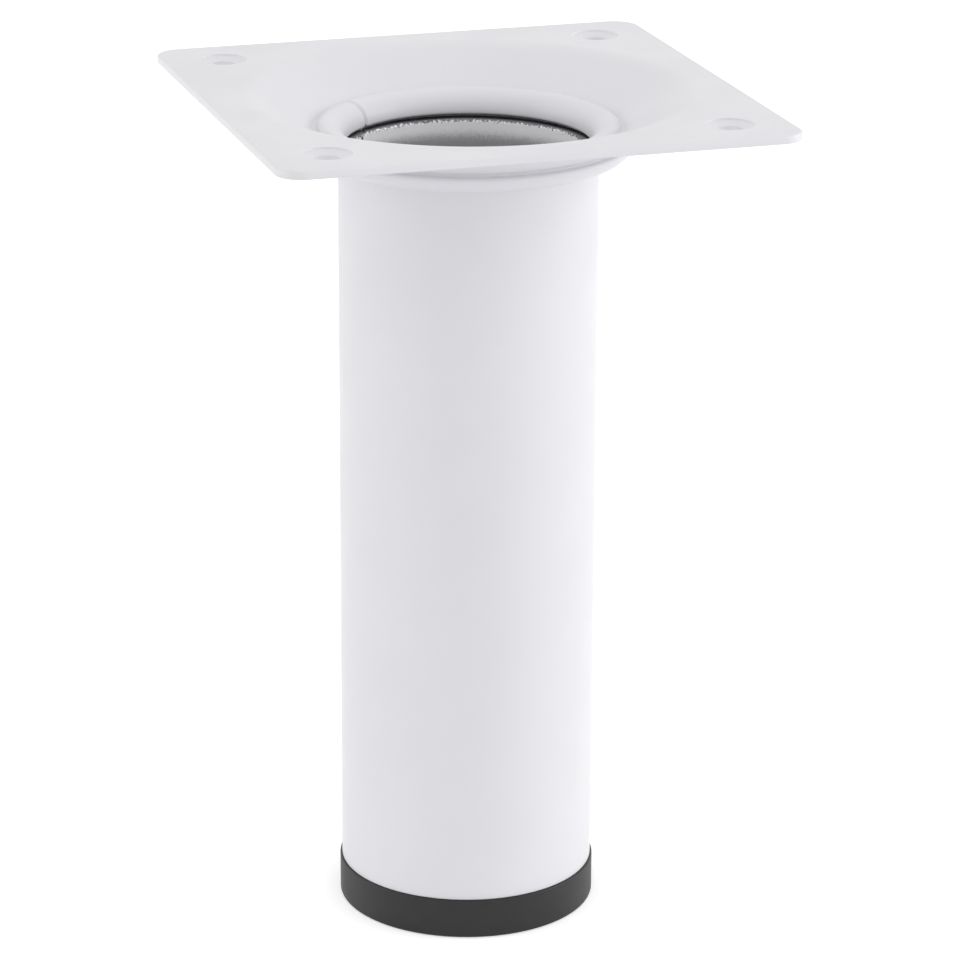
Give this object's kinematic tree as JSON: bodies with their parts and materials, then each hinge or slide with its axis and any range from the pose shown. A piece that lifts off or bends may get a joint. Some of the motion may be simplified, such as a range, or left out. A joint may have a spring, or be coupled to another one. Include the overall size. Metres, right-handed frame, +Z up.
{
  "type": "furniture leg",
  "caption": "Short round steel furniture leg with a dished square screw plate at the top and a push-in plastic foot cap.",
  "frame": {"origin": "centre of the foot cap's underside, where the leg meets the floor", "axes": "+Z up the tube's axis, X and Y along the edges of the square mounting plate"},
  "size_m": [0.1, 0.1, 0.165],
  "materials": {
    "plate_coat": "satin white powder coat",
    "tube_coat": "satin white powder coat",
    "cap_plastic": "matt black, lightly textured"
  },
  "bodies": {
    "root": {"mounting_plate": "plate_coat", "leg_tube": "tube_coat", "foot_cap": "cap_plastic"}
  },
  "joints": []
}
